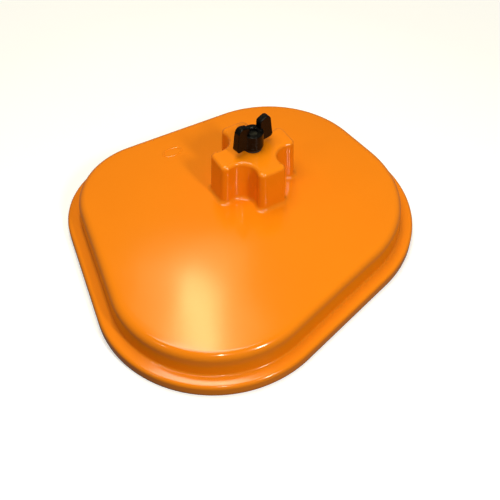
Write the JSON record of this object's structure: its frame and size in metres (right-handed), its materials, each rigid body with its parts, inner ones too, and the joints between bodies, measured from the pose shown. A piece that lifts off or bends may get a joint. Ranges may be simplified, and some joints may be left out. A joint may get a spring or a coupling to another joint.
{
  "type": "air filter housing cover",
  "caption": "Formed plastic air filter housing cover: a shallow dish with a flanged rim, foam gasket and hollow four-armed boss that carries a captive wing bolt.",
  "frame": {"origin": "middle of the rim's bounding box, in the plane that the rim stands on", "axes": "+Z out through the boss towards the wing grip; +X along the longer side of the rim; +Y across it towards the side where the boss sits"},
  "size_m": [0.2425, 0.2245, 0.0796],
  "materials": {
    "orange_plastic": "gloss, coloured right through, with faint forming ripples and light scuffs",
    "foam": "matt closed-cell foam",
    "black_rubber": "matt rubber",
    "black_plastic": "satin moulded glass-filled nylon",
    "black_steel": "black zinc plate"
  },
  "bodies": {
    "cover": {"cover_shell": "orange_plastic", "rim_gasket": "foam"},
    "washer": {"seal_washer": "black_rubber"},
    "wing_bolt": {"wing_grip": "black_plastic", "bolt": "black_steel", "retaining_ring": "black_steel"}
  },
  "joints": [
    {"name": "bolt_lift", "type": "slide", "parent": "cover", "child": "washer", "axis": [0, 0, 1], "range_m": [0, 0.006]},
    {"name": "bolt_spin", "type": "hinge", "parent": "washer", "child": "wing_bolt", "pos_m": [0.0181, 0.0224, 0.0575], "axis": [0, 0, 1], "continuous": true}
  ]
}
